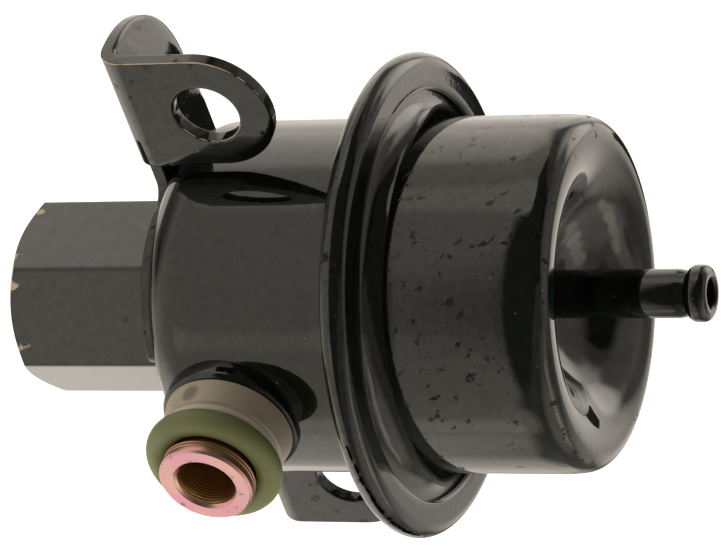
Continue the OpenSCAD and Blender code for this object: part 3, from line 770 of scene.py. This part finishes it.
def flat_distance(angle):
    """From the axis to the outside of the bar, with its corners eased."""
    from_corner = (angle + math.pi / 6) % (math.pi / 3) - math.pi / 6
    flat = HEX_R / math.cos(math.pi / 6 - abs(from_corner))
    round_centre = (HEX_R - EDGE_ROUND) / math.cos(math.pi / 6)
    aside = round_centre * math.sin(from_corner)
    if abs(aside) >= EDGE_ROUND:
        return flat
    return min(flat, round_centre * math.cos(from_corner) + math.sqrt(EDGE_ROUND ** 2 - aside ** 2))


def groove(angle, x):
    """The wall of the thread, deepest in the middle of each turn."""
    turn = ((x - HEX_X) / PITCH - angle / (2 * math.pi)) % 1.0
    open_end = ramp(x, HEX_X + 0.4, HEX_X + 0.9) * ramp(THREAD_END - 0.6 - x, 0, 0.8)
    return THREAD_R + THREAD_DEEP * open_end * ramp(1 - abs(2 * turn - 1), 0.12, 0.88)


def hexagon_outline(angle):
    """From the riveted neck over the bar and its chamfer, then back through the thread."""
    outside = flat_distance(angle)
    chamfer_x = HEX_X + max(0.0, outside - CHAMFER_R) * CHAMFER_SLOPE
    points = [(TUBE_R, RIVET_X), (RIVET_R - 0.3, RIVET_X), (RIVET_R, RIVET_X - 0.3)]
    points += [(RIVET_R, END_X + SHEET), (NECK_R, END_X + SHEET), (NECK_R, PLATE_X)]
    points += [(outside - 0.15, PLATE_X), (outside, PLATE_X - 0.15)]
    points += [(outside, PLATE_X - 6), (outside, PLATE_X - 12), (outside, chamfer_x)]
    points += [(min(outside, CHAMFER_R), HEX_X), (THREAD_R + 0.8, HEX_X)]
    points += [(groove(angle, HEX_X + 0.4), HEX_X + 0.4)]
    wall = [HEX_X + 0.5 + THREAD_STEP * k for k in range(97)]
    points += [(groove(angle, x), x) for x in wall if x < THREAD_END] + [(THREAD_R, THREAD_END)]
    points += [(TUBE_BORE_R, THREAD_END + DRILL_POINT), (TUBE_BORE_R, SOCKET_X), (TUBE_R, SOCKET_X)]
    return points


corners = [k * math.pi / 3 for k in range(6)]
steps = [-0.5, -0.46, -0.4, -0.33, -0.25, -0.17, -0.1, -0.06, -0.045, -0.034, -0.022, -0.011]
steps = steps + [0] + [-s for s in steps[::-1]][:-1]
angles = [c + s * math.pi / 3 for c in corners for s in steps]
outlet = carried_round("outlet_hexagon", angles, hexagon_outline, "X")


def hexagon_wear(p):
    """Chips on the chamfer, mostly on the corners that face the front and the top."""
    radius = math.hypot(p.y, p.z)
    most = 1.02 if p.z > 0 and p.y < 6 else 0.78
    return ramp(p.x, HEX_X + 1.2, HEX_X + 0.5) * ramp(radius, 8.9, 9.5) * most


enamelled(outlet, "outlet_hex", lambda p: 0.05, hexagon_wear)

# %% [markdown]
# The inlet stub was turned, brazed on and then enamelled up to its collar, while the tip kept its
# passivated zinc plating, which shimmers from pink to gold. The collar's foot has to follow the
# round housing, so the outline again depends on the angle. Two rings are scored round the tip. The
# faces of the collar get the enamel, and the tip and the bore get the plating. The fine rings that
# the turning tool left are a bump that repeats along the axis in the bore and along the radius on
# the end.

# %% Inlet stub
COLLAR_R, COLLAR_L, COLLAR_EDGE = 7.2, 19.0, 0.6
GROOVE_R, TIP_R, TIP_START, TIP_L, TIP_CHAMFER = 4.4, 4.9, 25.7, 27.4, 0.35
INLET_BORE_R, INLET_INSIDE = 3.05, 16.3
SCORES, SCORE_HALF, SCORE_DEEP = (0.35, 0.75), 0.08, 0.1


def housing_distance(radius, angle):
    """How far out along the inlet's axis the housing's surface lies."""
    x, z = radius * math.cos(angle), radius * math.sin(angle)
    behind = max(0.0, END_X + CORNER_R - x)
    outside = HOUSING_R - CORNER_R + math.sqrt(CORNER_R ** 2 - behind ** 2)
    return math.sqrt(outside ** 2 - z ** 2)


def stub_outline(angle):
    """From the bore inside the housing over the collar and the tip, then back along the bore."""
    points = [(INLET_BORE_R, INLET_INSIDE), (INLET_NECK_R, INLET_INSIDE)]
    points += [(r, housing_distance(r, angle)) for r in (INLET_NECK_R, 5.2, 5.9, 6.6, COLLAR_R)]
    points += arc((COLLAR_R - COLLAR_EDGE, COLLAR_L - COLLAR_EDGE), COLLAR_EDGE, 0, 90, 8)
    points += [(GROOVE_R, COLLAR_L), (GROOVE_R, TIP_START)]
    points += [(TIP_R - 0.12, TIP_START), (TIP_R - 0.03, TIP_START + 0.08)]
    for score in SCORES:
        points += [(TIP_R, TIP_START + score - 0.12), (TIP_R, TIP_START + score - SCORE_HALF)]
        points += [(TIP_R - SCORE_DEEP, TIP_START + score), (TIP_R, TIP_START + score + SCORE_HALF)]
    points += [(TIP_R, TIP_L - 0.3), (TIP_R - 0.01, TIP_L - 0.24), (TIP_R - 0.21, TIP_L - 0.04)]
    points += [(TIP_R - 0.25, TIP_L), (TIP_R - 0.29, TIP_L)]
    points += [(INLET_BORE_R + 0.34, TIP_L), (INLET_BORE_R + 0.3, TIP_L)]
    points += [(INLET_BORE_R + 0.26, TIP_L - 0.03), (INLET_BORE_R + 0.03, TIP_L - 0.3)]
    points += [(INLET_BORE_R, TIP_L - TIP_CHAMFER)]
    return points + [(INLET_BORE_R, TIP_L - TIP_CHAMFER - k * 1.07) for k in range(1, 10)]


PINK, PEACH, MAUVE = (0.62, 0.31, 0.37, 1), (0.62, 0.4, 0.34, 1), (0.56, 0.33, 0.44, 1)
GOLD, BROWN, GRIME = (0.78, 0.56, 0.31, 1), (0.5, 0.3, 0.17, 1), (0.3, 0.2, 0.14, 1)
BORE_RINGS, END_RINGS = 17500, 22000  # radians to the metre
plating, tree, shader = new_finish("pink_gold_plating", metallic=1.0)
across = add(tree, "ShaderNodeSeparateXYZ")
tree.links.new(stretched(tree), across.inputs[0])
squares = [math_node(tree, "POWER", across.outputs[side], 2.0) for side in ("X", "Z")]
radius = math_node(tree, "POWER", math_node(tree, "ADD", *squares), 0.5)
waver = math_node(tree, "MULTIPLY", noise(tree, 260), 0.0011)
along = math_node(tree, "MULTIPLY", math_node(tree, "ADD", across.outputs["Y"], waver), BORE_RINGS)
outward = math_node(tree, "MULTIPLY", math_node(tree, "ADD", radius, waver), END_RINGS)
film = blend_colour(tree, remap(tree, noise(tree, 210, detail=4), 0.42, 0.66), PINK, PEACH)
film = blend_colour(tree, remap(tree, noise(tree, 420, detail=3), 0.55, 0.7), film, MAUVE)
in_bore = remap(tree, radius, (INLET_BORE_R + 0.07) * MM, INLET_BORE_R * MM)
film = blend_colour(tree, in_bore, film, GOLD)
off_end = remap(tree, across.outputs["Y"], -(TIP_L - 0.2) * MM, -(TIP_L - 0.4) * MM)
on_side = math_node(tree, "MULTIPLY", off_end, math_node(tree, "SUBTRACT", 1.0, in_bore))
film = blend_colour(tree, math_node(tree, "MULTIPLY", on_side, 0.75), film, BROWN)
grime = remap(tree, noise(tree, 900, detail=6), 0.62, 0.74)
tree.links.new(blend_colour(tree, grime, film, GRIME), shader.inputs["Base Color"])
tree.links.new(math_node(tree, "MULTIPLY_ADD", grime, 0.2, 0.34), shader.inputs["Roughness"])
rings = math_node(tree, "MULTIPLY", math_node(tree, "SINE", along), in_bore)
rings = math_node(tree, "MULTIPLY_ADD", math_node(tree, "SINE", outward), 0.08, rings)
dent(tree, shader, rings, 0.35, 0.00004)

stub = carried_round("inlet_stub_turned", [2 * math.pi * k / 160 for k in range(160)], stub_outline, "Y")
stub.data.materials.append(enamel)
stub.data.materials.append(plating)
for face in stub.data.polygons:
    middle = face.center / MM
    on_collar = -middle.y < COLLAR_L + 0.001 and math.hypot(middle.x, middle.z) > INLET_NECK_R - 0.3
    face.material_index = 0 if on_collar else 1
mark(stub, "nicked", lambda p: 0.2)
mark(stub, "chipped", lambda p: 0.0)
stands_for(stub, "inlet_stub")

# %% [markdown]
# A stiff tan ring backs up the soft O-ring. Its rounded front lip is painted a little lighter, a
# painted highlight, and handling has left darker smudges. The O-ring is olive rubber with a dull
# skin, fine pores and pale specks of dirt. Both are plain turned outlines, and all the interest is
# in the finish.

# %% Inlet seals
BACK_R, FRONT_R, LIP_START, LIP_END, LIP_END_R = 6.7, 6.35, 22.05, 22.85, 5.95
O_RING_L, O_RING_MID_R, O_RING_R = 24.225, 5.775, 1.375
SMUDGE_AT = Vector((-1.85, -20.6, 6.3)) * MM

tan, tree, shader = new_finish("tan_plastic_ring")
place_y = add(tree, "ShaderNodeSeparateXYZ")
tree.links.new(stretched(tree), place_y.inputs[0])
body_tan = blend_colour(tree, noise(tree, 320, detail=5), (0.36, 0.31, 0.235, 1), (0.52, 0.455, 0.36, 1))
# The front lip is painted lighter: a painted highlight on its rounded front face.
lip_highlight = remap(tree, place_y.outputs["Y"], -(LIP_START - 0.1) * MM, -(LIP_START + 0.1) * MM)
body_tan = blend_colour(tree, lip_highlight, body_tan, (0.58, 0.53, 0.44, 1))
smudge = remap(tree, noise(tree, 150, stretched(tree, (1, 2.2, 1)), detail=5, distortion=0.6), 0.62, 0.95)
thumbed = add(tree, "ShaderNodeVectorMath", operation="DISTANCE")
tree.links.new(stretched(tree), thumbed.inputs[0])
thumbed.inputs[1].default_value = SMUDGE_AT
oval = math_node(tree, "MULTIPLY_ADD", noise(tree, 1400), 0.0008, thumbed.outputs["Value"])
smudge = math_node(tree, "MAXIMUM", smudge, remap(tree, oval, 0.0017, 0.001, 0, 0.75))
tree.links.new(blend_colour(tree, smudge, body_tan, (0.14, 0.11, 0.075, 1)), shader.inputs["Base Color"])
uneven_gloss(tree, shader, 500, 0.25, 0.32)
dent(tree, shader, noise(tree, 1800, stretched(tree, (1, 4, 1)), detail=4), 0.25, 0.00003)
outline = [(GROOVE_R, COLLAR_L), (BACK_R - 0.1, COLLAR_L), (BACK_R, COLLAR_L + 0.1)]
outline += [(FRONT_R + 0.03, LIP_START - 0.3), (FRONT_R - 0.06, LIP_START - 0.22)]
outline += [(FRONT_R - 0.16, LIP_START - 0.12), (FRONT_R - 0.14, LIP_START)]
outline += [(FRONT_R - 0.06, LIP_START + 0.12)]
outline += arc((LIP_END_R - 0.1, LIP_END - 0.45), 0.42, 20, 90, 7) + [(GROOVE_R, LIP_END)]
backing = turned("inlet_backing_collar", outline, "Y", 160)
backing.data.materials.append(tan)
stands_for(backing, "inlet_backing_ring")

olive, tree, shader = new_finish("olive_rubber_skin")
skin = blend_colour(tree, noise(tree, 240, detail=5), (0.128, 0.148, 0.05, 1), (0.192, 0.212, 0.085, 1))
specks = spots(tree, 1500, stretched(tree), 0.2, 0.09)
tree.links.new(blend_colour(tree, specks, skin, (0.36, 0.35, 0.26, 1)), shader.inputs["Base Color"])
uneven_gloss(tree, shader, 600, 0.25, 0.42)
dent(tree, shader, noise(tree, 2600, detail=4), 0.3, 0.00003)
outline = arc((O_RING_MID_R, O_RING_L), O_RING_R, 0, 360, 48)[:-1]
o_ring = turned("inlet_o_ring_seal", outline, "Y", 160)
o_ring.data.materials.append(olive)
stands_for(o_ring, "inlet_o_ring")

# %% [markdown]
# Both springs are round wire wound on a mandrel, with the end turns closed up so that they sit
# flat. That is a rule rather than a shape, so a Geometry Nodes tree makes both: it bends a line of
# points into a coil whose rise is slow in the end turns and fast between them, and then gives the
# line its thickness. The main spring shortens as the valve lifts, but here it is wound at one
# length and held by the body.

# %% Springs
wire_steel, tree, shader = new_finish("spring_wire", metallic=1.0)
shade = blend_colour(tree, noise(tree, 300, detail=5), (0.2, 0.2, 0.21, 1), (0.42, 0.41, 0.4, 1))
tree.links.new(shade, shader.inputs["Base Color"])
uneven_gloss(tree, shader, 900, 0.25, 0.25)

winding = bpy.data.node_groups.new("wound_spring", "GeometryNodeTree")
winding.interface.new_socket("Geometry", in_out="OUTPUT", socket_type="NodeSocketGeometry")
join = winding.links.new
sizes = {}
for size_name in ("Mean Radius", "Wire", "Start", "End", "Turns"):
    asked = winding.interface.new_socket(size_name, in_out="INPUT", socket_type="NodeSocketFloat")
    sizes[size_name] = asked.identifier
given = add(winding, "NodeGroupInput").outputs
CLOSED_TURNS, CLOSED_PITCH = 0.75, 1.05
WIRE_POINTS, WIRE_SIDES = 241, 20


def sums(operation, a, b=None):
    """A Math node in the spring's tree."""
    return math_node(winding, operation, a, b)


closed_rise = sums("MULTIPLY", given["Wire"], CLOSED_PITCH)
free_turns = sums("SUBTRACT", given["Turns"], 2 * CLOSED_TURNS)
rise = sums("SUBTRACT", sums("SUBTRACT", given["End"], given["Start"]), given["Wire"])
closed_height = sums("MULTIPLY", closed_rise, 2 * CLOSED_TURNS)
open_rise = sums("DIVIDE", sums("SUBTRACT", rise, closed_height), free_turns)
turn = sums("MULTIPLY", add(winding, "GeometryNodeSplineParameter").outputs["Factor"], given["Turns"])
past_first = sums("MAXIMUM", sums("SUBTRACT", turn, CLOSED_TURNS), 0.0)
open_part = sums("MINIMUM", past_first, free_turns)
closed_part = sums("SUBTRACT", turn, open_part)
height = sums("ADD", sums("MULTIPLY", closed_part, closed_rise), sums("MULTIPLY", open_part, open_rise))
height = sums("ADD", sums("ADD", height, given["Start"]), sums("MULTIPLY", given["Wire"], 0.5))
angle = sums("MULTIPLY", turn, 2 * math.pi)
spot = add(winding, "ShaderNodeCombineXYZ")
join(height, spot.inputs["X"])
join(sums("MULTIPLY", given["Mean Radius"], sums("COSINE", angle)), spot.inputs["Y"])
join(sums("MULTIPLY", given["Mean Radius"], sums("SINE", angle)), spot.inputs["Z"])
wire_line = add(winding, "GeometryNodeResampleCurve")
join(add(winding, "GeometryNodeCurvePrimitiveLine").outputs[0], wire_line.inputs["Curve"])
wire_line.inputs["Count"].default_value = WIRE_POINTS
wound = add(winding, "GeometryNodeSetPosition")
join(wire_line.outputs[0], wound.inputs["Geometry"])
join(spot.outputs[0], wound.inputs["Position"])
section = add(winding, "GeometryNodeCurvePrimitiveCircle")
section.inputs["Resolution"].default_value = WIRE_SIDES
join(sums("MULTIPLY", given["Wire"], 0.5), section.inputs["Radius"])
thick = add(winding, "GeometryNodeCurveToMesh")
thick.inputs["Fill Caps"].default_value = True
join(wound.outputs[0], thick.inputs["Curve"])
join(section.outputs[0], thick.inputs["Profile Curve"])
whole = add(winding, "GeometryNodeRealizeInstances")
join(thick.outputs[0], whole.inputs[0])
coated = add(winding, "GeometryNodeSetMaterial")
coated.inputs["Material"].default_value = wire_steel
join(whole.outputs[0], coated.inputs["Geometry"])
join(coated.outputs[0], add(winding, "NodeGroupOutput").inputs[0])


def wound_spring(name, mean_r, wire, start, end, turns):
    """A spring from the tree, as a plain closed mesh; sizes in mm."""
    made = bpy.data.objects.new(name, bpy.data.meshes.new(name))
    scene.collection.objects.link(made)
    nodes = made.modifiers.new("winding", "NODES")
    nodes.node_group = winding
    for size_name, value in zip(sizes, (mean_r * MM, wire * MM, start * MM, end * MM, turns)):
        nodes[sizes[size_name]] = float(value)
    settled(made)
    shade_closed(made.data, 40, merge=1e-7)
    return made


SPRING_START, SPRING_END = 16.45, 28.58
main_spring = wound_spring("main_spring_wire", 11.5, 2.2, SPRING_START, SPRING_END, 4.25)
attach(main_spring, "body")
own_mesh(main_spring)
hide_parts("main_spring")
ball_spring = wound_spring("ball_spring_wire", 1.4, 0.4, 12.977, 16.05, 4)
stands_for(ball_spring, "ball_spring", "valve")
print("main spring faces:", len(main_spring.data.polygons))

# %% [markdown]
# The pieces inside keep their solids, which are right as they are, and only get a finish: turned
# steel with faint tool rings, plates with a thin yellow plating, and a diaphragm of rubber on woven
# fabric. Each finish goes into the material slot of the solid's object.


# %% Finishes of the inner pieces
def bands(tree, direction, scale, distortion=0.0):
    """Soft stripes that follow one another along one axis."""
    made = add(tree, "ShaderNodeTexWave", wave_type="BANDS", bands_direction=direction)
    made.inputs["Scale"].default_value = scale
    made.inputs["Distortion"].default_value = distortion
    tree.links.new(stretched(tree), made.inputs["Vector"])
    return made.outputs["Fac"]


bare_steel, tree, shader = new_finish("turned_steel", metallic=1.0)
streaks = noise(tree, 350, stretched(tree, (3, 1, 1)), detail=5)
tone = blend_colour(tree, streaks, (0.46, 0.46, 0.47, 1), (0.66, 0.65, 0.64, 1))
tree.links.new(tone, shader.inputs["Base Color"])
uneven_gloss(tree, shader, 700, 0.2, 0.22)
dent(tree, shader, bands(tree, "X", 700, 1.5), 0.2, 0.00001)

plate_zinc, tree, shader = new_finish("yellow_zinc_plate", metallic=1.0)
tone = blend_colour(tree, noise(tree, 180, detail=4), (0.7, 0.56, 0.34, 1), (0.72, 0.6, 0.5, 1))
tree.links.new(tone, shader.inputs["Base Color"])
uneven_gloss(tree, shader, 800, 0.2, 0.28)

woven, tree, shader = new_finish("diaphragm_fabric")
tone = blend_colour(tree, noise(tree, 500, detail=4), (0.02, 0.017, 0.015, 1), (0.04, 0.034, 0.03, 1))
tree.links.new(tone, shader.inputs["Base Color"])
shader.inputs["Roughness"].default_value = 0.7
threads = [bands(tree, direction, 420) for direction in ("Y", "Z")]
dent(tree, shader, math_node(tree, "MULTIPLY", *threads), 0.5, 0.00005)

FINISHES = {"turned_steel": bare_steel, "yellow_zinc": plate_zinc, "diaphragm_rubber": woven}
inner = {row["node"]: FINISHES[row["material_slot"]] for row in frame["record"]["subparts"]
         if row["material_slot"] in FINISHES and row["node"] != "inlet_stub"}
for node, finish in inner.items():
    solid = frame["nodes"][node]
    for holder in solid.material_slots:
        holder.material = finish
print("inner pieces:", sorted(inner))
